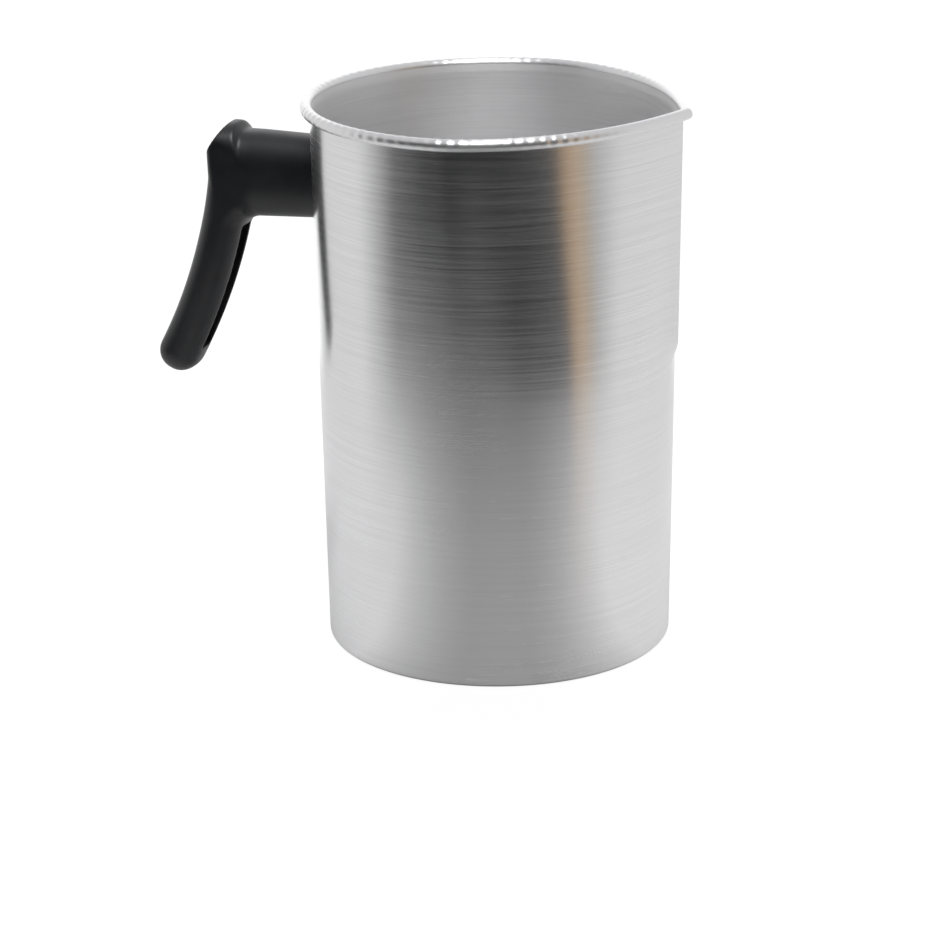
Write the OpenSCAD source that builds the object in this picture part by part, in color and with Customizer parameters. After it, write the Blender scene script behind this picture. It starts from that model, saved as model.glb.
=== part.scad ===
// Aluminium melting and pouring pot with a pinched spout and a moulded handle.
// The pot's axis is Z. The spout points along +X and the handle along -X.
// The origin is on the pot's axis, in the plane that the base stands on. Millimetres.

/* [Pot] */
// Height over the rolled rim
pot_h = 213; // [170:1:300]
// Outer diameter of the wall just under the rim
top_d = 140; // [115:1:190]
// Outer diameter of the wall at the base
base_d = 134; // [110:1:190]
// Thickness of the aluminium sheet
wall = 1; // [0.8:0.1:1.4]
// Outer radius of the curl that forms the rim
rim_r = 2.3; // [2:0.1:3.5]
// Gap between the end of the curl and the wall
curl_gap = 0.2; // [0.1:0.05:0.8]
// Radius of the edge between the base and the wall
base_edge = 1.8; // [1.5:0.1:5]
// Width of the flat ring that the pot stands on
foot_w = 8; // [4:0.5:15]
// Height of the base panel above the table
panel_lift = 0.6; // [0:0.1:2]

/* [Spout] */
// How far the tip stands out past the round rim
spout_reach = 3.2; // [0:0.1:8]
// Angle from the tip to where the rim is round again
spout_half = 90; // [75:1:110]
// Lean of each flank where the two meet at the tip
spout_lean = 18.5; // [0:0.5:25]
// Pull of a flank's curve at the tip, as a share of the rim's radius
tip_pull = 0.92; // [0.5:0.01:1]
// Pull of a flank's curve where it meets the round rim
flank_pull = 0.15; // [0.1:0.01:0.4]
// Height of wall, below the curl, that the spout is pressed into
spout_depth = 100; // [50:1:130]
// Height over which the spout's ridge runs out into the round wall
spout_fade = 12; // [5:1:40]
// Angle from the tip to where the ridge blends into the flanks
ridge_half = 14; // [8:1:25]

/* [Handle] */
// Height of the arm's axis below the top of the rim
arm_drop = 35.3; // [30:0.1:60]
// Length of the arm's axis, from the wall to the handle's back
arm_l = 45.3; // [44:0.1:60]
// Width of the arm
arm_w = 25; // [22:0.5:32]
// Height of the arm where it meets the wall
arm_h = 31.7; // [30:0.1:40]
// Growth of the arm's height towards the grip, above and below
arm_flare = 0.9; // [0:0.1:3]
// Depth of the grip, from its back to the edge of its channel
grip_depth = 17; // [15:0.5:24]
// Width of the grip near its tip
tip_w = 21; // [16:0.5:28]
// Bend radius of the grip's middle line
grip_bend = 223.5; // [120:0.5:300]
// Height of the bend's centre above the arm's axis
bend_rise = 32; // [0:0.5:40]
// Angle from the level of the bend's centre to the grip's tip
grip_sweep = 28.3; // [24:0.1:40]
// Radius of the fillet between the arm and the grip
fillet_r = 8; // [4:0.5:12]
// Rise of the thumb crest above the arm
crest_rise = 3; // [0:0.1:6]
// Length of the crest, from the handle's back to its front foot
crest_l = 14; // [11:0.5:20]
// Length of the crest's front slope
crest_run = 3.2; // [2:0.1:6]
// Slope of the facet behind the thumb crest
facet_angle = 57; // [40:1:70]
// Land between the screw's counterbore and the facet
facet_land = 2; // [0.5:0.1:3]
// Width of the channel in the grip
channel_w = 9; // [6:0.5:12]
// Depth of the channel in the grip
channel_depth = 11; // [6:0.5:12]
// Distance from the channel's end to the start of the grip's rounded tip
channel_end = 6.2; // [3:0.1:15]

/* [Fastening] */
// Width of the bracket's strap
bracket_w = 12; // [11:0.5:14]
// Thickness of the bracket's steel
bracket_t = 1.5; // [1:0.1:2]
// Distance from the wall to the front of the bracket
bracket_l = 11.4; // [10:0.1:14]
// Length of each of the bracket's feet past its rivet's head
foot_rim = 0.4; // [0.2:0.1:1]
// Shank diameter of the rivets
rivet_d = 3.2; // [2.4:0.1:4]
// Head diameter of the rivets
rivet_head_d = 6.2; // [5:0.1:7.5]
// Head height of the rivets
rivet_head_h = 1.5; // [1:0.1:2]
// Thread diameter of the handle's screw
screw_d = 5; // [4:1:5]
// Length of screw that stands out past the nut
screw_tail = 1; // [0.5:0.1:3]
// Depth of the screw's head below the handle's back
screw_sink = 3.3; // [0.5:0.1:5]
// Diameter of the screw's head
screw_head_d = 9.5; // [8:0.1:10]
// Height of the screw's head
screw_head_h = 3.7; // [3:0.1:4.5]
// Width across the flats of the square nut
nut_w = 8; // [7:0.5:9]
// Height of the square nut
nut_h = 4; // [3:0.1:4.5]
// Outer diameter of the flat washer
washer_d = 10; // [9.6:0.1:12]
// Thickness of the flat washer
washer_t = 1; // [0.8:0.1:1.2]
// Outer diameter of the spring washer
spring_d = 9.2; // [8.5:0.1:9.6]
// Thickness of the spring washer
spring_t = 1.2; // [1:0.1:1.5]
// Clearance between the handle and what it covers
fit_gap = 0.3; // [0.1:0.05:0.5]
// Clearance between the nut and the sides of the bracket's web
nut_gap = 0.1; // [0.05:0.05:0.3]
// Clearance between the handle and the pot's wall
seat_gap = 0.1; // [0.05:0.05:0.3]

/* [Hidden] */
$fn = 64;

top_r = top_d / 2;
base_r = base_d / 2;
rim_z = pot_h - rim_r;
rim_centre_r = top_r - wall + rim_r;
// Turn of the curl, from the wall over the top and back towards it.
rim_turn = 360 - acos((rim_r - wall - curl_gap) / rim_r);
spout_z = rim_z - spout_depth;
arm_z = pot_h - arm_drop;
wall_slope = atan2(top_r - base_r, rim_z);

// Outer radius of the plain wall at a height.
function wall_r(z) = base_r + (top_r - base_r) * min(1, z / rim_z);
// A smooth step from 0 to 1.
function ease(t) = let (u = max(0, min(1, t))) u * u * (3 - 2 * u);
function bezier(a, b, c, d, t) =
    pow(1 - t, 3) * a + 3 * t * pow(1 - t, 2) * b + 3 * t * t * (1 - t) * c + pow(t, 3) * d;

// One flank of the spout in plan, from the tip (t = 0) to the round rim (t = 1).
function flank(t) = bezier(
    [rim_centre_r + spout_reach, 0],
    [rim_centre_r + spout_reach - tip_pull * rim_centre_r * sin(spout_lean),
     tip_pull * rim_centre_r * cos(spout_lean)],
    rim_centre_r * [cos(spout_half) + flank_pull * sin(spout_half),
                    sin(spout_half) - flank_pull * cos(spout_half)],
    rim_centre_r * [cos(spout_half), sin(spout_half)], t);

flank_steps = 20;
round_steps = 38;
// Stations round the pot: an angle, a radial offset from the round rim, and a share of the ridge.
// They lie closer together towards the tip.
stations = concat(
    [for (i = [flank_steps : -1 : -flank_steps])
        let (p = flank(pow(abs(i) / flank_steps, 1.5)), angle = atan2(p.y, p.x))
        [sign(i) * angle, norm(p) - rim_centre_r, 1 - ease(angle / ridge_half)]],
    [for (i = [1 : round_steps - 1]) [-spout_half - (360 - 2 * spout_half) * i / round_steps, 0, 0]]);
// The flat facets lie just outside the true round, so that they cover its edge.
largest_step = max(spout_half / flank_steps, (360 - 2 * spout_half) / round_steps);
facet_gain = 1 / cos(0.6 * largest_step);

// The sheet's section through the spout's wall and the curl. A point is a radius, a height, and the
// shares of the offset that the flanks and the ridge have there. The flanks ease out over the spout's
// whole depth, and the ridge only at its foot, where the points lie closer together.
wall_steps = 9;
curl_steps = 14;
function wall_point(i, inset) =
    let (up = spout_depth * pow(i / wall_steps, 1.6), z = spout_z + up)
    [wall_r(z) - inset, z, ease(up / spout_depth), ease(up / spout_fade)];
function curl_point(i, r) =
    let (a = 180 - rim_turn * i / curl_steps)
    [rim_centre_r + r * cos(a), rim_z + r * sin(a), 1, 1];
sheet_section = concat(
    [for (i = [0 : wall_steps - 1]) wall_point(i, 0)],
    [for (i = [0 : curl_steps]) curl_point(i, rim_r - wall)],
    [for (i = [curl_steps : -1 : 0]) curl_point(i, rim_r)],
    [for (i = [wall_steps - 1 : -1 : 0]) wall_point(i, wall)]);

// A closed skin over rings of equal length, with flat ends.
module loft(rings) {
    n = len(rings[0]);
    last = len(rings) - 1;
    polyhedron(
        points = [for (ring = rings) each ring],
        faces = concat(
            [[for (j = [0 : n - 1]) j]],
            [for (i = [0 : last - 1], j = [0 : n - 1])
                [i * n + j, (i + 1) * n + j, (i + 1) * n + (j + 1) % n]],
            [for (i = [0 : last - 1], j = [0 : n - 1])
                [i * n + j, (i + 1) * n + (j + 1) % n, i * n + (j + 1) % n]],
            [[for (j = [n - 1 : -1 : 0]) last * n + j]]),
        convexity = 8);
}

// The wall from the spout's foot up, with the curl: one closed band.
module upper_wall() {
    n = len(sheet_section);
    m = len(stations);
    polyhedron(
        points = [for (s = stations, p = sheet_section)
            let (share = p[2] + (p[3] - p[2]) * s[2], r = (p[0] + s[1] * share) * facet_gain)
            [r * cos(s[0]), r * sin(s[0]), p[1]]],
        faces = [for (i = [0 : m - 1], j = [0 : n - 1], half = [0, 1])
            let (a = i * n, b = (i + 1) % m * n, k = (j + 1) % n)
            half == 0 ? [a + j, b + j, b + k] : [a + j, b + k, a + k]],
        convexity = 8);
}

// Half section of the plain wall between two heights.
module wall_section(low, high) {
    polygon([[wall_r(low) - wall, low], [wall_r(low), low],
             [wall_r(high), high], [wall_r(high) - wall, high]]);
}

module base_section() {
    corner_r = wall_r(base_edge) - base_edge;
    ring_r = corner_r - foot_w;
    slope_r = ring_r - 2 * panel_lift - wall;
    polygon([[0, panel_lift], [slope_r, panel_lift], [ring_r, 0], [corner_r, 0], [corner_r, wall],
             [ring_r, wall], [slope_r, panel_lift + wall], [0, panel_lift + wall]]);
    intersection() {
        translate([corner_r, base_edge])
            difference() {
                circle(base_edge);
                circle(base_edge - wall);
            }
        translate([corner_r, 0])
            square([base_edge, base_edge]);
    }
}

// The pot's body: one sheet, drawn, curled at the rim and pressed at the spout.
module vessel() {
    color("silver")
        difference() {
            union() {
                rotate_extrude($fn = 128) {
                    base_section();
                    wall_section(base_edge, spout_z);
                }
                upper_wall();
            }
            for (side = [-1, 1])
                across_wall(rivet_z * side, -2 * wall, 2 * wall)
                    circle(d = rivet_d);
        }
}

// Places along the arm: 0 is at the wall, and the distance grows towards the handle's back.
module along_arm(up, from, to) {
    translate([-wall_r(arm_z) - from, 0, arm_z + up])
        rotate([0, -90, 0])
            linear_extrude(to - from)
                children();
}

// The wall's outside, grown by a gap, to trim what seats against it.
module wall_body(gap) {
    cylinder(h = rim_z, r1 = base_r * facet_gain + gap, r2 = top_r * facet_gain + gap, $fn = 256);
}

// Places square to the sheet at a height above the arm's axis: 0 is the wall's outside.
module across_wall(up, from, to) {
    translate([-wall_r(arm_z + up), 0, arm_z + up])
        rotate([0, -90 - wall_slope, 0])
            translate([0, 0, from])
                linear_extrude(to - from)
                    children();
}

// The handle's outline in the XZ plane: the arm runs along -X, its underside turns down into the grip
// round a fillet, and the grip bends about a line parallel to Y, far behind it and above the arm.
ring_points = 32;
section_power = 2.5;
grip_half = grip_depth / 2;
back_x = -wall_r(arm_z) - arm_l;
inner_r = grip_bend + grip_half;
outer_r = grip_bend - grip_half;
bend_x = back_x - sqrt(pow(outer_r, 2) - pow(bend_rise, 2));
bend_z = arm_z + bend_rise;
half_h = arm_h / 2 + arm_flare;
facet_z = washer_d / 2 + fit_gap + facet_land;
fillet_a = asin((bend_rise + half_h + fillet_r) / (inner_r + fillet_r));
fillet_centre = [bend_x + (inner_r + fillet_r) * cos(fillet_a), arm_z - half_h - fillet_r];

function arm_half_h(x) =
    arm_h / 2 + arm_flare * min(1, (-wall_r(arm_z) - x) / (-wall_r(arm_z) - fillet_centre.x));
function top_z(x) = arm_z + arm_half_h(x) + crest_rise * ease((back_x + crest_l - x) / crest_run);
function outer_x(z) = z > arm_z ? back_x : bend_x + sqrt(pow(outer_r, 2) - pow(bend_z - z, 2));
function on_bend(r, a) = [bend_x + r * cos(a), bend_z - r * sin(a)];
function grip_half_w(a) = arm_w / 2 + (tip_w - arm_w) / 2 * ease((a - fillet_a) / (grip_sweep - fillet_a));
function power(c) = sign(c) * pow(abs(c), 2 / section_power);

// A closed ring across the handle between an outer and an inner point of the outline, with its
// half width and the depths over which its outer and inner ends are rounded.
function ring(outer, inner, half_w, outer_cap, inner_cap) =
    let (half = norm(outer - inner) / 2, along = (outer - inner) / (2 * half), mid = (outer + inner) / 2)
    [for (k = [0 : ring_points - 1])
        let (t = 360 * (k + 0.5) / ring_points,
             cap = sin(t) > 0 ? outer_cap : inner_cap,
             v = sign(sin(t)) * (half - cap) + cap * power(sin(t)))
        [mid.x + along.x * v, -half_w * power(cos(t)), mid.y + along.y * v]];

// A ring of the corner: it fans out from the fillet's centre to an outer point.
function corner_ring(outer, turn) =
    let (inner = fillet_centre + fillet_r * (outer - fillet_centre) / norm(outer - fillet_centre),
         cap = half_h + (grip_half - half_h) * ease(turn))
    ring(outer, inner, arm_w / 2, min(cap, norm(outer - inner) / 2), min(cap, norm(outer - inner) / 2));

arm_rings = [for (x = [-wall_r(arm_z) + 6, -wall_r(arm_z), fillet_centre.x + 3])
    ring([x, arm_z + arm_half_h(x)], [x, arm_z - arm_half_h(x)], arm_w / 2, arm_half_h(x), arm_half_h(x))];
top_steps = 13;
corner_top = [for (k = [0 : top_steps - 1])
    let (x = fillet_centre.x + (back_x - fillet_centre.x) * k / top_steps)
    corner_ring([x, top_z(x)], k / top_steps)];
back_steps = 9;
fillet_out = on_bend(outer_r, fillet_a);
corner_back = [for (k = [0 : back_steps - 1])
    let (z = top_z(back_x) + (fillet_out.y - top_z(back_x)) * k / back_steps)
    corner_ring([outer_x(z), z], 1)];
grip_steps = 11;
grip_rings = [for (k = [0 : grip_steps])
    let (a = fillet_a + (grip_sweep - fillet_a) * k / grip_steps)
    ring(on_bend(outer_r, a), on_bend(inner_r, a), grip_half_w(a), grip_half, grip_half)];
tip_rings = [for (c = [20, 38, 54, 67, 77, 85])
    let (ahead = grip_half * sin(c) * [-sin(grip_sweep), -cos(grip_sweep)], half = grip_half * cos(c))
    ring(on_bend(grip_bend - half, grip_sweep) + ahead, on_bend(grip_bend + half, grip_sweep) + ahead,
         tip_w / 2 * pow(cos(c), 0.8), half, half)];

// The channel in the grip's inner side, with a round floor.
module grip_channel() {
    start = asin((bend_rise + half_h + fillet_r / 2) / inner_r);
    stop = grip_sweep - channel_end / inner_r * 180 / PI;
    floor_r = inner_r - channel_depth;
    translate([bend_x, 0, bend_z])
        rotate([90, 0, 0])
            rotate([0, 0, -stop])
                rotate_extrude(angle = stop - start, $fn = 128) {
                    translate([floor_r + channel_w / 2, 0])
                        circle(d = channel_w);
                    translate([floor_r + channel_w / 2, -channel_w / 2])
                        square([channel_depth + fillet_r, channel_w]);
                }
}

// Cuts the facet behind the thumb crest.
module facet_cut() {
    size = arm_h;
    translate([back_x, 0, arm_z + facet_z])
        rotate([0, -facet_angle, 0])
            translate([-size / 2, -size, 0])
                cube([2 * size, 2 * size, size]);
}

// The stack of the screw's pieces, measured along the arm from the wall.
seat_l = arm_l - screw_sink - screw_head_h - spring_t - washer_t;
screw_top_l = seat_l + washer_t + spring_t;
nut_top_l = bracket_l - bracket_t;
screw_end_l = nut_top_l - nut_h - screw_tail;
strap_half = nut_w / 2 + nut_gap + bracket_t;
foot_l = rivet_head_d + foot_rim;
bracket_half = strap_half + foot_l;
rivet_z = strap_half + foot_l / 2;

// The handle's outside, trimmed to the wall.
module handle_body() {
    difference() {
        loft(concat(arm_rings, corner_top, corner_back, grip_rings, tip_rings));
        wall_body(seat_gap);
        facet_cut();
        grip_channel();
    }
}

// The handle: one phenolic moulding.
module handle() {
    color([0.09, 0.09, 0.1])
        difference() {
            resize([0, arm_w, 0])
                handle_body();
            along_arm(0, -5, bracket_l)
                square([2 * (bracket_half + fit_gap), bracket_w + 2 * fit_gap], center = true);
            along_arm(0, 0, arm_l)
                circle(d = screw_d + 2 * fit_gap);
            along_arm(0, seat_l, arm_l + 5)
                circle(d = washer_d + 2 * fit_gap);
        }
}

// A steel strap bent to a hat: two feet on the wall and a raised web for the screw.
module handle_bracket() {
    color("gainsboro")
        difference() {
            along_arm(0, -5, bracket_l)
                square([2 * bracket_half, bracket_w], center = true);
            wall_body(0);
            for (side = [-1, 1])
                strap_outside(side);
            along_arm(0, -5, nut_top_l)
                square([2 * (strap_half - bracket_t), bracket_w + 1], center = true);
            along_arm(0, 0, bracket_l + 1)
                circle(d = screw_d + fit_gap);
            for (side = [-1, 1])
                across_wall(rivet_z * side, -bracket_t, 2 * bracket_t)
                    circle(d = rivet_d);
        }
}

// What is cut away above and below the raised web, down to the feet.
module strap_outside(side) {
    cut_l = foot_l + 1;
    difference() {
        along_arm(side * (strap_half + cut_l / 2), -5, bracket_l + 1)
            square([cut_l, bracket_w + 1], center = true);
        wall_body(bracket_t);
    }
}

module bracket_nut() {
    color("gainsboro")
        along_arm(0, nut_top_l - nut_h, nut_top_l)
            difference() {
                square(nut_w, center = true);
                circle(d = screw_d);
            }
}

// A round-headed rivet through the wall and a foot, set square to the sheet and closed on the foot's outside.
// The head inside the pot stands off by the sag of the round wall under it.
module rivet(up) {
    sag = pow(rivet_head_d / 2, 2) / (2 * (wall_r(arm_z + up) - wall));
    head_base = wall + sag;
    foot_top = bracket_t + top_r * (facet_gain - 1);
    tail_d = 0.9 * rivet_head_d;
    tail_h = 0.6 * rivet_head_h;
    color("silver") {
        across_wall(up, -head_base - rivet_head_h / 2, foot_top + tail_h / 2)
            circle(d = rivet_d);
        across_wall(up, foot_top, foot_top + tail_h)
            circle(d = tail_d);
        rivet_head(up, head_base);
    }
}

// The head inside the pot: a dome on a flat seat.
module rivet_head(up, at) {
    dome_r = (pow(rivet_head_d / 2, 2) + pow(rivet_head_h, 2)) / (2 * rivet_head_h);
    translate([-wall_r(arm_z + up), 0, arm_z + up])
        rotate([0, 90 - wall_slope, 0])
            translate([0, 0, at])
                rotate_extrude()
                    intersection() {
                        translate([0, rivet_head_h - dome_r])
                            circle(dome_r);
                        square([rivet_head_d / 2, rivet_head_h]);
                    }
}

module rivet_upper() {
    rivet(rivet_z);
}

module rivet_lower() {
    rivet(-rivet_z);
}

// A pan-headed machine screw with a cross recess.
module handle_screw() {
    recess_w = 0.24 * screw_head_d;
    recess_t = 0.09 * screw_head_d;
    head_top = screw_top_l + screw_head_h;
    color("gainsboro")
        difference() {
            union() {
                along_arm(0, screw_end_l, screw_top_l)
                    circle(d = screw_d);
                translate([-wall_r(arm_z) - screw_top_l, 0, arm_z])
                    rotate([0, -90, 0])
                        rotate_extrude()
                            pan_head_section();
            }
            for (turn = [0, 90])
                along_arm(0, head_top - 0.6 * screw_head_h, head_top + 1)
                    rotate(turn)
                        square([2 * recess_w, recess_t], center = true);
        }
}

module pan_head_section() {
    edge = 0.45 * screw_head_h;
    square([screw_head_d / 2, screw_head_h - edge]);
    square([screw_head_d / 2 - edge, screw_head_h]);
    translate([screw_head_d / 2 - edge, screw_head_h - edge])
        circle(edge);
}

module flat_washer() {
    color("gainsboro")
        along_arm(0, seat_l, seat_l + washer_t)
            difference() {
                circle(d = washer_d);
                circle(d = screw_d + fit_gap);
            }
}

// A split ring, pressed flat under the screw's head.
module spring_washer() {
    color("gainsboro")
        along_arm(0, seat_l + washer_t, screw_top_l)
            difference() {
                circle(d = spring_d);
                circle(d = screw_d + fit_gap / 2);
                rotate(20)
                    translate([spring_d / 2, 0])
                        square([spring_d, 0.8], center = true);
            }
}

vessel();
handle();
handle_bracket();
rivet_upper();
rivet_lower();
bracket_nut();
handle_screw();
flat_washer();
spring_washer();
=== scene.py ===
"""The melting pot's visual model, studio and camera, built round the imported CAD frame. Metres."""
import math

import bmesh
import bpy
import numpy as np
from mathutils import Matrix, Vector


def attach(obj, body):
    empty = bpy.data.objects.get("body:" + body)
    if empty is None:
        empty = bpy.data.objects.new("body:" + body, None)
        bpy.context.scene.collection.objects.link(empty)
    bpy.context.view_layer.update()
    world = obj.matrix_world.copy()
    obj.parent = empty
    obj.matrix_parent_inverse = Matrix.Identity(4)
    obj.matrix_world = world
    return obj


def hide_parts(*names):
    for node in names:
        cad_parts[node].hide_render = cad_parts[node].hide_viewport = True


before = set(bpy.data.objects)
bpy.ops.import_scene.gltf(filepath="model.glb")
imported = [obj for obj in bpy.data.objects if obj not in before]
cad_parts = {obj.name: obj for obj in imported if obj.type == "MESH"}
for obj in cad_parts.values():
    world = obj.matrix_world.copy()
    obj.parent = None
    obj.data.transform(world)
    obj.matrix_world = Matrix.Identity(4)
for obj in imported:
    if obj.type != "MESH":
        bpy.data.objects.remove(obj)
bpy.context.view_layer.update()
MM = 0.001

# The CAD's driving sizes, in millimetres.
POT_H = 213.0
TOP_R = 70.0
BASE_R = 67.0
WALL = 1.0
RIM_R = 2.3
CURL_GAP = 0.2
BASE_EDGE = 1.8
FOOT_W = 8.0
PANEL_LIFT = 0.6
SPOUT_REACH = 3.2
SPOUT_HALF = math.radians(90)
SPOUT_LEAN = math.radians(18.5)
TIP_PULL = 0.92
FLANK_PULL = 0.15
SPOUT_DEPTH = 100.0
SPOUT_FADE = 12.0
RIDGE_HALF = math.radians(14)
ARM_DROP = 35.3
ARM_L = 45.3
ARM_W = 25.0
ARM_H = 31.7
ARM_FLARE = 0.9
GRIP_DEPTH = 17.0
TIP_W = 21.0
GRIP_BEND = 223.5
BEND_RISE = 32.0
GRIP_SWEEP = math.radians(28.3)
FILLET_R = 8.0
CREST_RISE = 3.0
CREST_L = 14.0
CREST_RUN = 3.2
FACET_ANGLE = math.radians(57)
FACET_Z = 7.3
CHANNEL_W = 9.0
CHANNEL_DEPTH = 11.0
CHANNEL_END = 6.2
SCREW_SINK = 3.3
SCREW_HEAD_H = 3.7
SPRING_T = 1.2
WASHER_T = 1.0
SEAT_L = ARM_L - (SCREW_SINK + SCREW_HEAD_H + SPRING_T + WASHER_T)
SEAT_GAP = 0.1
# The CAD's faceted wall stands proud of its true cone by this factor.
SEAT_GAIN = 1.00123
BORE_R = 2.8
COUNTERBORE_R = 5.3
POCKET_L = 11.4
POCKET_W = 12.6
POCKET_H = 25.0

RIM_Z = POT_H - RIM_R
RIM_CENTRE_R = TOP_R - WALL + RIM_R
RIM_TURN = 360 - math.degrees(math.acos((RIM_R - WALL - CURL_GAP) / RIM_R))
SPOUT_Z = RIM_Z - SPOUT_DEPTH
ARM_Z = POT_H - ARM_DROP


def ease(t):
    u = np.clip(t, 0, 1)
    return u * u * (3 - 2 * u)


def wall_r(z):
    return BASE_R + (TOP_R - BASE_R) * np.minimum(1, z / RIM_Z)


# ---------------------------------------------------------------- the vessel
# Radii of the base panel's rings, and heights of the plain wall's rings.
PANEL_RADII = (1.5, 6, 15, 30, 45)
PLAIN_LEVELS = (10, 30, 50, 70, 90, 104)
# Distance of the rings that keep an edge crisp.
CRISP = 1
EDGE_STEPS = 7
PRESSED_STEPS = 26
CURL_STEPS = 26
RIPPLES = 100
RIPPLE_STEPS = 8
RIPPLE_H = 0.26
RIPPLE_CENTRE = math.radians(50)
STATIONS = RIPPLES * RIPPLE_STEPS


def ripple_weight(turn):
    """How much of the curl's ripples a point of its outside has, strongest on its upper outer side."""
    away = turn - RIPPLE_CENTRE
    return max(0.0, math.cos(away * 0.75)) if abs(away) < 2 else 0.0


def spout_offset(angles):
    """Radial offset of the rim from its round form, from the two flanks' curves in plan."""
    t = np.linspace(0, 1, 400)[:, None]
    tip = np.array([RIM_CENTRE_R + SPOUT_REACH, 0.0])
    tip_handle = tip + TIP_PULL * RIM_CENTRE_R * np.array([-math.sin(SPOUT_LEAN), math.cos(SPOUT_LEAN)])
    meet = RIM_CENTRE_R * np.array([math.cos(SPOUT_HALF), math.sin(SPOUT_HALF)])
    meet_handle = meet + FLANK_PULL * RIM_CENTRE_R * np.array([math.sin(SPOUT_HALF), -math.cos(SPOUT_HALF)])
    curve = ((1 - t) ** 3 * tip + 3 * t * (1 - t) ** 2 * tip_handle
             + 3 * t * t * (1 - t) * meet_handle + t ** 3 * meet)
    radius = np.hypot(curve[:, 0], curve[:, 1])
    angle = np.arctan2(curve[:, 1], curve[:, 0])
    return np.interp(np.abs(angles), angle, radius - RIM_CENTRE_R, right=0.0)


def sheet_rows():
    """The sheet's section from the underside's middle to the inside's middle.
    Rows are (radius, height, shares of the offset at the flanks and the ridge, weight of the ripples)."""
    corner_r = wall_r(BASE_EDGE) - BASE_EDGE
    ring_r = corner_r - FOOT_W
    slope_r = ring_r - 2 * PANEL_LIFT - WALL
    panel_radii = (*PANEL_RADII, slope_r - CRISP, slope_r)
    edge_turns = [math.radians(90 * i / EDGE_STEPS - 90) for i in range(EDGE_STEPS + 1)]
    rows = [(r, PANEL_LIFT, 0, 0, 0) for r in panel_radii]
    rows += [(r, 0, 0, 0, 0) for r in (ring_r, ring_r + CRISP, corner_r - CRISP)]
    rows += [(corner_r + BASE_EDGE * math.cos(a), BASE_EDGE + BASE_EDGE * math.sin(a), 0, 0, 0)
             for a in edge_turns]
    rows += [(wall_r(z), z, 0, 0, 0) for z in PLAIN_LEVELS]
    ups = [SPOUT_DEPTH * (i / PRESSED_STEPS) ** 1.5 for i in range(PRESSED_STEPS)]
    pressed = [(SPOUT_Z + up, ease(up / SPOUT_DEPTH), ease(up / SPOUT_FADE)) for up in ups]
    rows += [(wall_r(z), z, flank, ridge, 0) for z, flank, ridge in pressed]
    turns = [math.radians(180 - RIM_TURN * i / CURL_STEPS) for i in range(CURL_STEPS + 1)]
    inner = RIM_R - WALL
    rows += [(RIM_CENTRE_R + inner * math.cos(a), RIM_Z + inner * math.sin(a), 1, 1, 0) for a in turns]
    for a in reversed(turns):
        weight = ripple_weight(a)
        rows.append((RIM_CENTRE_R + RIM_R * math.cos(a), RIM_Z + RIM_R * math.sin(a), 1, 1, weight))
    rows += [(wall_r(z) - WALL, z, flank, ridge, 0) for z, flank, ridge in reversed(pressed)]
    rows += [(wall_r(z) - WALL, z, 0, 0, 0) for z in reversed(PLAIN_LEVELS)]
    bend = BASE_EDGE - WALL
    rows += [(corner_r + bend * math.cos(a), BASE_EDGE + bend * math.sin(a), 0, 0, 0)
             for a in reversed(edge_turns)]
    rows += [(r, WALL, 0, 0, 0) for r in (corner_r - CRISP, ring_r + CRISP, ring_r)]
    rows += [(r, PANEL_LIFT + WALL, 0, 0, 0) for r in reversed(panel_radii)]
    return rows


def build_vessel():
    """One closed skin of quads, with two small round caps in the middle of the base.
    The curl has shallow ripples of uneven strength, which fade out towards the spout."""
    angles = np.arange(STATIONS) * 2 * math.pi / STATIONS
    signed = np.where(angles > math.pi, angles - 2 * math.pi, angles)
    offset = spout_offset(signed)
    on_ridge = 1 - ease(np.abs(signed) / RIDGE_HALF)
    rng = np.random.default_rng(7)
    knots = rng.uniform(0.25, 1.0, RIPPLES)
    strength = np.interp(angles, np.arange(RIPPLES) * 2 * math.pi / RIPPLES, knots, period=2 * math.pi)
    away_from_spout = ease((np.abs(signed) - math.radians(22)) / math.radians(30))
    ripple = np.cos(angles * RIPPLES) * strength * away_from_spout
    rows = sheet_rows()
    points = []
    for r, z, flank, ridge, weight in rows:
        dip = RIPPLE_H * weight * (ripple - 1) / 2
        up = (z - RIM_Z) / RIM_R if weight else 0
        out = (r - RIM_CENTRE_R) / RIM_R if weight else 0
        radius = r + offset * (flank + (ridge - flank) * on_ridge) + dip * out
        height = z + dip * up
        points.append(np.stack([radius * np.cos(angles), radius * np.sin(angles),
                                np.broadcast_to(height, radius.shape)], axis=1))
    points = np.concatenate(points) * MM
    n = STATIONS
    k = np.arange(n)
    faces = []
    for i in range(len(rows) - 1):
        a = i * n + k
        b = i * n + (k + 1) % n
        faces.append(np.stack([a, b, b + n, a + n], axis=1))
    faces = [list(map(int, f)) for f in np.concatenate(faces)]
    faces.append([int(i) for i in k[::-1]])
    faces.append([int(i) for i in (len(rows) - 1) * n + k])
    mesh = bpy.data.meshes.new("pot_vessel")
    mesh.from_pydata(points.tolist(), [], faces)
    mesh.validate()
    mesh.shade_smooth()
    obj = bpy.data.objects.new("pot_vessel", mesh)
    bpy.context.scene.collection.objects.link(obj)
    return obj


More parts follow.
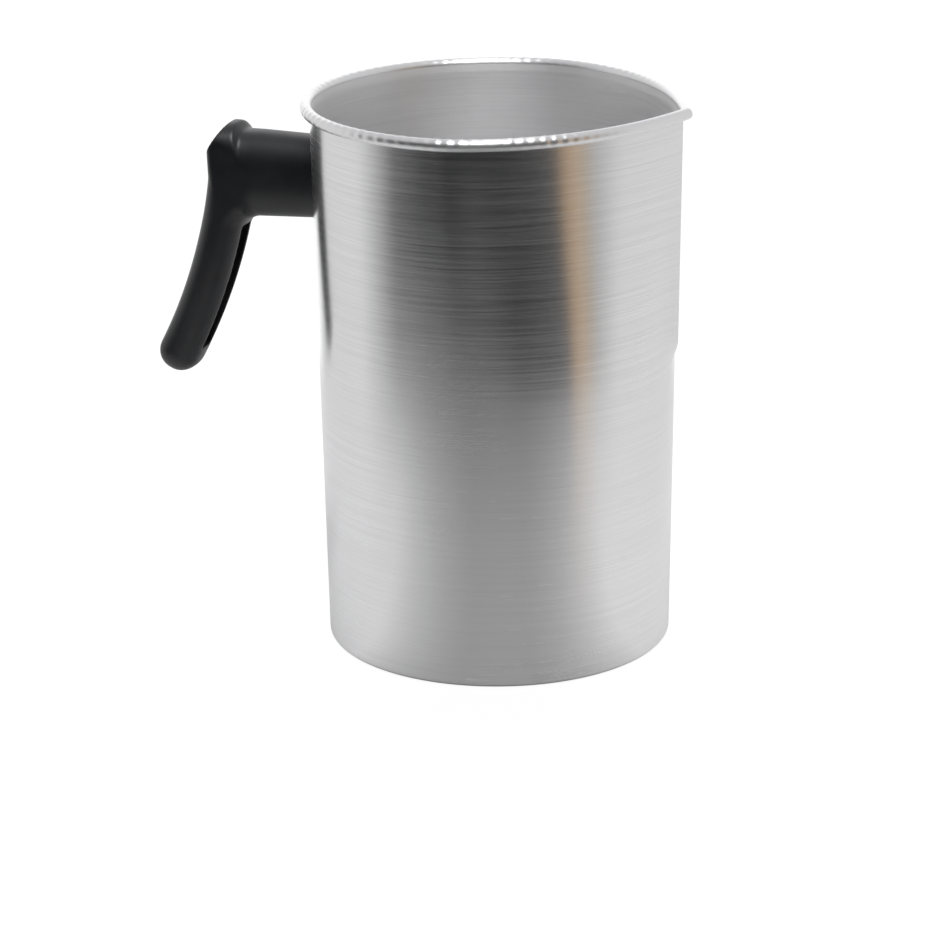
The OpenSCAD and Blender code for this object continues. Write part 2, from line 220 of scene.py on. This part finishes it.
# ---------------------------------------------------------------- the handle
RING_POINTS = 96
SECTION_POWER = 2.5
TIP_POWER = 0.8
ARM_STEPS = 12
TOP_STEPS = 30
BACK_STEPS = 24
GRIP_STEPS = 40
TIP_STEPS = 14
VOXEL = 0.45
SOFTENING_ROUNDS = 3
GRIP_HALF = GRIP_DEPTH / 2
INNER_R = GRIP_BEND + GRIP_HALF
OUTER_R = GRIP_BEND - GRIP_HALF
BACK_X = -wall_r(ARM_Z) - ARM_L
BEND_X = BACK_X - math.sqrt(OUTER_R ** 2 - BEND_RISE ** 2)
BEND_Z = ARM_Z + BEND_RISE
HALF_H = ARM_H / 2 + ARM_FLARE
FILLET_A = math.asin((BEND_RISE + HALF_H + FILLET_R) / (INNER_R + FILLET_R))
FILLET_X = BEND_X + (INNER_R + FILLET_R) * math.cos(FILLET_A)
FILLET_Z = ARM_Z - HALF_H - FILLET_R


def arm_half_h(x):
    start = -wall_r(ARM_Z)
    return ARM_H / 2 + ARM_FLARE * min(1, (start - x) / (start - FILLET_X))


def top_z(x):
    return ARM_Z + arm_half_h(x) + CREST_RISE * ease((BACK_X + CREST_L - x) / CREST_RUN)


def outer_x(z):
    return BACK_X if z > ARM_Z else BEND_X + math.sqrt(OUTER_R ** 2 - (BEND_Z - z) ** 2)


def on_bend(r, a):
    return np.array([BEND_X + r * math.cos(a), BEND_Z - r * math.sin(a)])


def power(c, p=SECTION_POWER):
    return np.sign(c) * np.abs(c) ** (2 / p)


def ring(outer, inner, half_w, outer_cap, inner_cap):
    """A closed ring across the handle between an outer and an inner point of its outline."""
    outer, inner = np.array(outer, float), np.array(inner, float)
    half = np.linalg.norm(outer - inner) / 2
    along = (outer - inner) / (2 * half)
    mid = (outer + inner) / 2
    t = 2 * math.pi * (np.arange(RING_POINTS) + 0.5) / RING_POINTS
    cap = np.where(np.sin(t) > 0, outer_cap, inner_cap)
    v = np.sign(np.sin(t)) * (half - cap) + cap * power(np.sin(t))
    return np.stack([mid[0] + along[0] * v, -half_w * power(np.cos(t)), mid[1] + along[1] * v], axis=1)


def corner_ring(outer, turn):
    centre = np.array([FILLET_X, FILLET_Z])
    outer = np.array(outer, float)
    reach = np.linalg.norm(outer - centre)
    inner = centre + FILLET_R * (outer - centre) / reach
    cap = min(HALF_H + (GRIP_HALF - HALF_H) * ease(turn), np.linalg.norm(outer - inner) / 2)
    return ring(outer, inner, ARM_W / 2, cap, cap)


def handle_rings():
    """The skin's rings: along the arm, over the corner's top, down its back, along the grip, round its tip."""
    rings = []
    start = -wall_r(ARM_Z)
    for x in np.linspace(start + 6, FILLET_X + 3, ARM_STEPS):
        h = arm_half_h(x) if x < start else ARM_H / 2
        rings.append(ring([x, ARM_Z + h], [x, ARM_Z - h], ARM_W / 2, h, h))
    for k in range(TOP_STEPS):
        x = FILLET_X + (BACK_X - FILLET_X) * k / TOP_STEPS
        rings.append(corner_ring([x, top_z(x)], k / TOP_STEPS))
    end = on_bend(OUTER_R, FILLET_A)
    for k in range(BACK_STEPS):
        z = top_z(BACK_X) + (end[1] - top_z(BACK_X)) * k / BACK_STEPS
        rings.append(corner_ring([outer_x(z), z], 1))
    for k in range(GRIP_STEPS + 1):
        a = FILLET_A + (GRIP_SWEEP - FILLET_A) * k / GRIP_STEPS
        half_w = ARM_W / 2 + (TIP_W - ARM_W) / 2 * ease(k / GRIP_STEPS)
        rings.append(ring(on_bend(OUTER_R, a), on_bend(INNER_R, a), half_w, GRIP_HALF, GRIP_HALF))
    for c in np.radians(np.linspace(8, 86, TIP_STEPS)):
        ahead = GRIP_HALF * math.sin(c) * np.array([-math.sin(GRIP_SWEEP), -math.cos(GRIP_SWEEP)])
        half = GRIP_HALF * math.cos(c)
        rings.append(ring(on_bend(GRIP_BEND - half, GRIP_SWEEP) + ahead,
                          on_bend(GRIP_BEND + half, GRIP_SWEEP) + ahead,
                          TIP_W / 2 * math.cos(c) ** TIP_POWER, half, half))
    return rings


def mesh_object(name, points, faces):
    mesh = bpy.data.meshes.new(name)
    mesh.from_pydata([tuple(p) for p in points], [], faces)
    mesh.validate()
    obj = bpy.data.objects.new(name, mesh)
    bpy.context.scene.collection.objects.link(obj)
    make = bmesh.new()
    make.from_mesh(mesh)
    bmesh.ops.recalc_face_normals(make, faces=make.faces)
    make.to_mesh(mesh)
    make.free()
    return obj


def loft(name, rings):
    n = len(rings[0])
    points = np.concatenate(rings) * MM
    faces = [[i * n + j, (i + 1) * n + j, (i + 1) * n + (j + 1) % n, i * n + (j + 1) % n]
             for i in range(len(rings) - 1) for j in range(n)]
    faces.append(list(range(n)))
    faces.append([(len(rings) - 1) * n + j for j in range(n - 1, -1, -1)])
    return mesh_object(name, points, faces)


def revolve_along_arm(name, radius, start, stop, points=64):
    """A round bar along the arm, between two distances from the wall."""
    t = 2 * math.pi * np.arange(points) / points
    rings = [np.stack([np.full(points, -wall_r(ARM_Z) - at), radius * np.cos(t),
                       ARM_Z + radius * np.sin(t)], axis=1)
             for at in (start, stop)]
    return loft(name, rings)


def block(name, low, high, turn=None, about=None):
    corners = [(x, y, z) for x in (low[0], high[0]) for y in (low[1], high[1]) for z in (low[2], high[2])]
    faces = [[0, 1, 3, 2], [4, 6, 7, 5], [0, 4, 5, 1], [2, 3, 7, 6], [0, 2, 6, 4], [1, 5, 7, 3]]
    obj = mesh_object(name, np.array(corners) * MM, faces)
    if turn is not None:
        spot = Vector(about) * MM
        obj.data.transform(Matrix.Translation(spot) @ turn @ Matrix.Translation(-spot))
    return obj


def channel_cutter():
    """The channel's space: a round-floored slot that follows the grip's bend."""
    start = math.asin((BEND_RISE + HALF_H + FILLET_R / 2) / INNER_R)
    stop = GRIP_SWEEP - CHANNEL_END / INNER_R
    floor_r = INNER_R - CHANNEL_DEPTH
    half = CHANNEL_W / 2
    arc = np.radians(np.linspace(90, 270, 25))
    profile = [(floor_r + half + half * math.cos(a), half * math.sin(a)) for a in arc]
    profile = [(INNER_R + FILLET_R, half)] + profile + [(INNER_R + FILLET_R, -half)]
    rings = []
    for a in np.linspace(start, stop, 40):
        rings.append(np.array([(BEND_X + r * math.cos(a), y, BEND_Z - r * math.sin(a)) for r, y in profile]))
    return loft("channel_cutter", rings)


def wall_cutter():
    t = 2 * math.pi * np.arange(256) / 256
    rings = [np.stack([r * np.cos(t), r * np.sin(t), np.full(256, z)], axis=1)
             for r, z in ((SEAT_GAIN * BASE_R + SEAT_GAP, 0.0), (SEAT_GAIN * TOP_R + SEAT_GAP, RIM_Z))]
    return loft("wall_cutter", rings)


def facet_cutter():
    pivot = (BACK_X, 0, ARM_Z + FACET_Z)
    low = (BACK_X - ARM_H / 2, -ARM_H, ARM_Z + FACET_Z)
    high = (BACK_X + 1.5 * ARM_H, ARM_H, ARM_Z + FACET_Z + ARM_H)
    return block("facet_cutter", low, high, Matrix.Rotation(-FACET_ANGLE, 4, "Y"), pivot)


def apply_modifiers(obj):
    depsgraph = bpy.context.evaluated_depsgraph_get()
    mesh = bpy.data.meshes.new_from_object(obj.evaluated_get(depsgraph))
    obj.modifiers.clear()
    obj.data = mesh
    return obj


def cut_away(obj, cutters):
    for cutter in cutters:
        cut = obj.modifiers.new("cut", "BOOLEAN")
        cut.operation = "DIFFERENCE"
        cut.solver = "EXACT"
        cut.object = cutter
    apply_modifiers(obj)
    for cutter in cutters:
        bpy.data.objects.remove(cutter)


def build_handle():
    """The moulding: its loft less the pot, facet, channel, pocket and bores, with every edge softened."""
    obj = loft("handle_moulding", handle_rings())
    start = -wall_r(ARM_Z)
    cutters = [
        wall_cutter(),
        facet_cutter(),
        channel_cutter(),
        block("pocket_cutter", (start - POCKET_L, -POCKET_W / 2, ARM_Z - POCKET_H / 2),
              (start + 5, POCKET_W / 2, ARM_Z + POCKET_H / 2)),
        revolve_along_arm("bore_cutter", BORE_R, 0, ARM_L),
        revolve_along_arm("seat_cutter", COUNTERBORE_R, SEAT_L, ARM_L + 5),
    ]
    cut_away(obj, cutters)
    remesh = obj.modifiers.new("even", "REMESH")
    remesh.mode = "VOXEL"
    remesh.voxel_size = VOXEL * MM
    soften = obj.modifiers.new("soften", "SMOOTH")
    soften.factor = 0.5
    soften.iterations = SOFTENING_ROUNDS
    apply_modifiers(obj)
    obj.data.shade_smooth()
    return obj


# ---------------------------------------------------------------- materials
class Nodes:
    """A short way to write a node tree."""

    def __init__(self, tree):
        self.tree = tree

    def add(self, kind, inputs=None, **settings):
        node = self.tree.nodes.new(kind)
        for key, value in settings.items():
            setattr(node, key, value)
        for key, value in (inputs or {}).items():
            if isinstance(value, bpy.types.NodeSocket):
                self.tree.links.new(value, node.inputs[key])
            else:
                node.inputs[key].default_value = value
        return node

    def math(self, operation, a, b=0.0, clamp=False):
        node = self.add("ShaderNodeMath", {0: a, 1: b}, operation=operation)
        node.use_clamp = clamp
        return node.outputs[0]

    def noise(self, vector, scale, detail=2.0, roughness=0.5):
        node = self.add("ShaderNodeTexNoise", {"Vector": vector, "Scale": scale, "Detail": detail,
                                               "Roughness": roughness})
        return node.outputs["Fac"]

    def stretch(self, vector, scale):
        return self.add("ShaderNodeVectorMath", {0: vector, 1: scale}, operation="MULTIPLY").outputs[0]

    def between(self, value, low, high, out_low, out_high):
        node = self.add("ShaderNodeMapRange", {"Value": value, "From Min": low, "From Max": high,
                                               "To Min": out_low, "To Max": out_high})
        return node.outputs["Result"]

    def spread(self, noise, out_low, out_high):
        """Stretches a noise, most of which lies between 0.3 and 0.7, over a wanted range."""
        return self.between(noise, 0.3, 0.7, out_low, out_high)

    def mix(self, factor, a, b):
        node = self.add("ShaderNodeMix", {"Factor": factor}, data_type="RGBA")
        for index, value in ((6, a), (7, b)):
            if isinstance(value, bpy.types.NodeSocket):
                self.tree.links.new(value, node.inputs[index])
            else:
                node.inputs[index].default_value = value
        return node.outputs[2]

    def bump(self, height, strength, distance, normal=None):
        inputs = {"Height": height, "Strength": strength, "Distance": distance}
        if normal is not None:
            inputs["Normal"] = normal
        return self.add("ShaderNodeBump", inputs).outputs["Normal"]


def new_material(name):
    material = bpy.data.materials.new(name)
    material.use_nodes = True
    tree = material.node_tree
    tree.nodes.clear()
    nodes = Nodes(tree)
    shader = nodes.add("ShaderNodeBsdfPrincipled")
    out = nodes.add("ShaderNodeOutputMaterial", {"Surface": shader.outputs[0]})
    out.is_active_output = True
    return material, nodes, shader


def grey(value, tint=0.0):
    return (value, value, value + tint, 1.0)


def brushed_aluminium(name, low, high, rough_low, rough_high, anisotropy):
    """Sheet aluminium brushed round the pot: fine grooves, hairline scratches and faint clouding.
    The rim's bead shows little of the brushing and is a little duller."""
    material, nodes, shader = new_material(name)
    place = nodes.add("ShaderNodeTexCoord").outputs["Object"]
    split = nodes.add("ShaderNodeSeparateXYZ", {0: place})
    x, y, z = split.outputs
    radius = nodes.math("SQRT", nodes.math("ADD", nodes.math("MULTIPLY", x, x), nodes.math("MULTIPLY", y, y)))
    level = nodes.math("ADD", z, nodes.math("MINIMUM", radius, (BASE_R - WALL) * MM))
    spot = nodes.add("ShaderNodeCombineXYZ", {0: x, 1: y, 2: level}).outputs[0]
    # Cells per metre: long round the pot, and fine along it.
    grooves = nodes.noise(nodes.stretch(spot, (14, 14, 3400)), 1.0, 2.0, 0.6)
    scratches = nodes.noise(nodes.stretch(spot, (18, 18, 1700)), 1.0, 2.0, 0.6)
    streaks = nodes.noise(nodes.stretch(spot, (12, 12, 900)), 1.0, 2.0, 0.5)
    clouds = nodes.noise(nodes.stretch(spot, (26, 26, 9)), 1.0, 2.0, 0.5)
    on_bead = nodes.between(z, (RIM_Z - 3.2) * MM, (RIM_Z - 2.2) * MM, 0.0, 1.0)
    plain = nodes.math("SUBTRACT", 1.0, on_bead)
    tone = nodes.math("ADD", nodes.spread(grooves, -0.5, 0.5),
                      nodes.spread(scratches, -0.5, 0.5))
    tone = nodes.math("ADD", tone, nodes.spread(streaks, -0.3, 0.3))
    tone = nodes.math("ADD", tone, nodes.spread(clouds, -0.25, 0.25))
    shade = nodes.between(nodes.math("MULTIPLY", tone, plain), -1.3, 1.3, 0.0, 1.0)
    rough = nodes.spread(clouds, rough_low, rough_high)
    rough = nodes.math("ADD", rough, nodes.spread(scratches, -0.03, 0.03))
    rough = nodes.math("ADD", rough, nodes.math("MULTIPLY", on_bead, 0.1))
    height = nodes.math("ADD", nodes.math("MULTIPLY", grooves, 0.5), nodes.math("MULTIPLY", scratches, 0.5))
    height = nodes.math("MULTIPLY", height, nodes.between(plain, 0.0, 1.0, 0.2, 1.0))
    tangent = nodes.add("ShaderNodeTangent", direction_type="RADIAL", axis="Z").outputs[0]
    links = nodes.tree.links
    links.new(nodes.mix(shade, low, high), shader.inputs["Base Color"])
    links.new(rough, shader.inputs["Roughness"])
    links.new(nodes.bump(height, 0.3, 0.000006), shader.inputs["Normal"])
    links.new(tangent, shader.inputs["Tangent"])
    shader.inputs["Metallic"].default_value = 1.0
    shader.inputs["Anisotropic"].default_value = anisotropy
    shader.inputs["Anisotropic Rotation"].default_value = 0.25
    return material


def black_phenolic():
    """Moulded phenolic resin: near black, a fine pebble, faint flow mottling and rubbed, shinier patches."""
    material, nodes, shader = new_material("black_phenolic")
    place = nodes.add("ShaderNodeTexCoord").outputs["Object"]
    pebble = nodes.noise(place, 2600.0, 2.0, 0.5)
    mottle = nodes.noise(place, 140.0, 3.0, 0.6)
    rubbed = nodes.noise(place, 38.0, 2.0, 0.5)
    colour = nodes.mix(nodes.spread(mottle, 0.0, 1.0),
                       (0.006, 0.0066, 0.0085, 1), (0.010, 0.011, 0.0135, 1))
    rough = nodes.math("ADD", nodes.between(rubbed, 0.35, 0.65, 0.37, 0.44),
                       nodes.spread(pebble, -0.03, 0.03))
    links = nodes.tree.links
    links.new(colour, shader.inputs["Base Color"])
    links.new(rough, shader.inputs["Roughness"])
    links.new(nodes.bump(pebble, 0.25, 0.00004, nodes.bump(mottle, 0.15, 0.0002)), shader.inputs["Normal"])
    shader.inputs["IOR"].default_value = 1.5
    return material


def small_metal(name, low, high, rough_low, rough_high, blemish):
    """Plated or bare metal of the small fasteners, with fine blotches, tooling marks and rubbed spots."""
    material, nodes, shader = new_material(name)
    place = nodes.add("ShaderNodeTexCoord").outputs["Object"]
    blotch = nodes.noise(place, 420.0, 3.0, 0.6)
    marks = nodes.noise(nodes.stretch(place, (5200, 900, 900)), 1.0, 2.0, 0.5)
    colour = nodes.mix(nodes.spread(blotch, 0.0, 1.0), low, high)
    rough = nodes.math("ADD", nodes.spread(blotch, rough_low, rough_high),
                       nodes.spread(marks, -blemish, blemish))
    links = nodes.tree.links
    links.new(colour, shader.inputs["Base Color"])
    links.new(rough, shader.inputs["Roughness"])
    links.new(nodes.bump(marks, 0.2, 0.00002), shader.inputs["Normal"])
    shader.inputs["Metallic"].default_value = 1.0
    return material


# ---------------------------------------------------------------- the studio
CAMERA_TURN = 0.3006
CAMERA_OUT = 1258.0
CAMERA_UP = 494.4
TARGET_SIDE = -9.054
TARGET_UP = 62.27
CAMERA_ROLL = -0.0116
LENS = 128.88
FLOOR_R = 385.0
FLOOR_GAP = 0.05


def add_camera():
    """The camera stands in front of the pot, a little towards the spout's side, and looks down at it."""
    spot = Vector((CAMERA_OUT * math.sin(CAMERA_TURN), -CAMERA_OUT * math.cos(CAMERA_TURN), CAMERA_UP)) * MM
    target = Vector((TARGET_SIDE * math.cos(CAMERA_TURN), TARGET_SIDE * math.sin(CAMERA_TURN),
                     TARGET_UP)) * MM
    ahead = (target - spot).normalized()
    right = ahead.cross(Vector((0, 0, 1))).normalized()
    up = right.cross(ahead)
    rolled_right = math.cos(CAMERA_ROLL) * right + math.sin(CAMERA_ROLL) * up
    rolled_up = math.cos(CAMERA_ROLL) * up - math.sin(CAMERA_ROLL) * right
    data = bpy.data.cameras.new("camera")
    data.lens = LENS
    data.sensor_width = 36
    data.clip_start = 0.05
    camera = bpy.data.objects.new("camera", data)
    turn = Matrix((rolled_right, rolled_up, -ahead)).transposed().to_4x4()
    camera.matrix_world = Matrix.Translation(spot) @ turn
    bpy.context.scene.collection.objects.link(camera)
    bpy.context.scene.camera = camera


def add_world():
    """A soft studio all round: white screens left and right, a dark room behind the camera,
    one warm strip, and a bright ceiling. Camera rays see plain white."""
    world = bpy.data.worlds.new("studio")
    world.use_nodes = True
    world.node_tree.nodes.clear()
    nodes = Nodes(world.node_tree)
    direction = nodes.add("ShaderNodeTexCoord").outputs["Generated"]
    towards_camera = math.radians(-90) + CAMERA_TURN
    turned = nodes.add("ShaderNodeVectorRotate", {"Vector": direction, "Angle": -towards_camera},
                       rotation_type="Z_AXIS").outputs[0]
    split = nodes.add("ShaderNodeSeparateXYZ", {0: turned})
    angle = nodes.math("ARCTAN2", split.outputs[1], split.outputs[0])
    around = nodes.between(angle, -math.pi, math.pi, 0.0, 1.0)
    ramp = nodes.add("ShaderNodeValToRGB", {0: around})
    # Degrees from the camera's direction, counted towards the spout, and the screen's brightness there.
    bands = [(-180, grey(1.3)), (-160, grey(1.2)), (-146, grey(0.8)), (-130, grey(0.78)),
             (-94, grey(0.78)), (-80, grey(0.48)), (-66, grey(0.13)), (-45, grey(0.04)), (-20, grey(0.010)),
             (15, grey(0.010)), (32, grey(0.025)), (46, grey(0.06)), (51, (0.40, 0.27, 0.16, 1)),
             (56, (0.52, 0.38, 0.25, 1)), (62, (0.46, 0.39, 0.31, 1)), (68, grey(0.50)), (82, grey(0.76)),
             (150, grey(0.8)), (162, grey(1.2)), (180, grey(1.3))]
    first, last = ramp.color_ramp.elements[0], ramp.color_ramp.elements[1]
    for element, (at, colour) in ((first, bands[0]), (last, bands[-1])):
        element.position = (at + 180) / 360
        element.color = colour
    for at, colour in bands[1:-1]:
        element = ramp.color_ramp.elements.new((at + 180) / 360)
        element.color = colour
    ceiling = nodes.between(split.outputs[2], 0.32, 0.75, 0.0, 1.0)
    lit = nodes.mix(ceiling, ramp.outputs[0], (0.7, 0.7, 0.71, 1))
    seen = nodes.add("ShaderNodeLightPath").outputs["Is Camera Ray"]
    room = nodes.add("ShaderNodeBackground", {"Color": lit, "Strength": 1.0})
    white = nodes.add("ShaderNodeBackground", {"Color": (1.05, 1.05, 1.05, 1), "Strength": 1.0})
    both = nodes.add("ShaderNodeMixShader", {0: seen, 1: room.outputs[0], 2: white.outputs[0]})
    nodes.add("ShaderNodeOutputWorld", {"Surface": both.outputs[0]})
    bpy.context.scene.world = world


def add_floor():
    """A round, pale, matt table top that the pot stands on. Its matt is painted darker towards the camera's
    side, which is painted shade.
    """
    points = 128
    t = 2 * math.pi * np.arange(points) / points
    ring_points = np.stack([FLOOR_R * np.cos(t), FLOOR_R * np.sin(t),
                            np.full(points, -FLOOR_GAP)], axis=1) * MM
    mesh = bpy.data.meshes.new("floor")
    mesh.from_pydata(ring_points.tolist(), [], [list(range(points))])
    floor = bpy.data.objects.new("floor", mesh)
    bpy.context.scene.collection.objects.link(floor)
    material = bpy.data.materials.new("pale_floor")
    material.use_nodes = True
    material.node_tree.nodes.clear()
    nodes = Nodes(material.node_tree)
    seen = nodes.add("ShaderNodeLightPath").outputs["Is Camera Ray"]
    place = nodes.add("ShaderNodeTexCoord").outputs["Object"]
    turned = nodes.add("ShaderNodeVectorRotate", {"Vector": place, "Angle": math.radians(90) - CAMERA_TURN},
                       rotation_type="Z_AXIS").outputs[0]
    outward = nodes.add("ShaderNodeVectorMath", {0: turned}, operation="NORMALIZE").outputs[0]
    ahead = nodes.add("ShaderNodeSeparateXYZ", {0: outward}).outputs[0]
    # Painted shade: the matt runs from grey 0.80 down to 0.38 on the camera's side of the floor, and the pot's
    # wall reflects that darker part.
    painted_shade_towards_camera = nodes.between(ahead, 0.5, 0.97, 0.0, 1.0)
    matt = nodes.add("ShaderNodeBsdfDiffuse", {"Color": nodes.mix(painted_shade_towards_camera, grey(0.80), grey(0.38))})
    glow = nodes.add("ShaderNodeEmission", {"Color": (1, 1, 1, 1), "Strength": 1.15})
    lit = nodes.add("ShaderNodeMixShader", {0: nodes.math("MULTIPLY", seen, 0.8), 1: matt.outputs[0],
                                            2: glow.outputs[0]})
    nodes.add("ShaderNodeOutputMaterial", {"Surface": lit.outputs[0]})
    mesh.materials.append(material)


def add_softbox(name, spot, target, size, watts):
    data = bpy.data.lights.new(name, "AREA")
    data.shape = "RECTANGLE"
    data.size, data.size_y = size
    data.energy = watts
    light = bpy.data.objects.new(name, data)
    ahead = (Vector(target) - Vector(spot)).normalized()
    light.matrix_world = Matrix.Translation(spot) @ ahead.to_track_quat("-Z", "Y").to_matrix().to_4x4()
    bpy.context.scene.collection.objects.link(light)


def set_material(obj, material):
    obj.data.materials.clear()
    obj.data.materials.append(material)


def finish_vessel(obj):
    """The outside and the bead take the first finish, and the inside the second one, which is duller and has a
    paler colour that is painted light.
    """
    obj.data.materials.clear()
    outside = brushed_aluminium("brushed_outside", (0.72, 0.72, 0.728, 1), (0.87, 0.87, 0.875, 1),
                                0.22, 0.26, 0.80)
    # Painted light: the inside's colour is paler than the outside's to brighten it; its higher roughness and
    # weaker anisotropy are its duller finish.
    inside_finish_and_painted_light = brushed_aluminium("brushed_inside", (0.88, 0.88, 0.89, 1), (1.0, 1.0, 1.0, 1),
                                      0.42, 0.46, 0.6)
    obj.data.materials.append(outside)
    obj.data.materials.append(inside_finish_and_painted_light)
    faces = obj.data.polygons
    count = len(faces)
    normals = np.empty(count * 3)
    centres = np.empty(count * 3)
    faces.foreach_get("normal", normals)
    faces.foreach_get("center", centres)
    normals, centres = normals.reshape(-1, 3), centres.reshape(-1, 3)
    faces_axis = (normals[:, :2] * centres[:, :2]).sum(axis=1) < 0
    below_bead = centres[:, 2] < RIM_Z * MM
    within_rim = np.hypot(centres[:, 0], centres[:, 1]) < (RIM_CENTRE_R - WALL) * MM
    on_pot_floor = (normals[:, 2] > 0.5) & (centres[:, 2] < 5 * MM)
    inside = (faces_axis & below_bead & within_rim) | on_pot_floor
    faces.foreach_set("material_index", inside.astype(np.int32))


# ---------------------------------------------------------------- the pieces
vessel = build_vessel()
finish_vessel(vessel)
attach(vessel, "root")
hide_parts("vessel")

handle = build_handle()
set_material(handle, black_phenolic())
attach(handle, "root")
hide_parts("handle")

steel = small_metal("zinc_plated_steel", (0.42, 0.43, 0.45, 1), (0.62, 0.63, 0.66, 1), 0.28, 0.42, 0.05)
rivet_metal = small_metal("rivet_aluminium", (0.72, 0.72, 0.73, 1), (0.86, 0.86, 0.87, 1), 0.25, 0.36, 0.04)
for name in ("handle_bracket", "bracket_nut", "handle_screw", "flat_washer", "spring_washer"):
    for material_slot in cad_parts[name].material_slots:
        material_slot.material = steel
for name in ("rivet_upper", "rivet_lower"):
    for material_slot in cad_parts[name].material_slots:
        material_slot.material = rivet_metal

add_floor()
add_world()
add_camera()
key_turn = CAMERA_TURN + math.radians(10)
key_out, key_up = 0.45, 1.25
key_spot = (key_out * math.sin(key_turn), -key_out * math.cos(key_turn), key_up)
add_softbox("key", key_spot, (0, 0, 0.2), (0.62, 0.45), 8)
bpy.context.scene.view_settings.view_transform = "Standard"
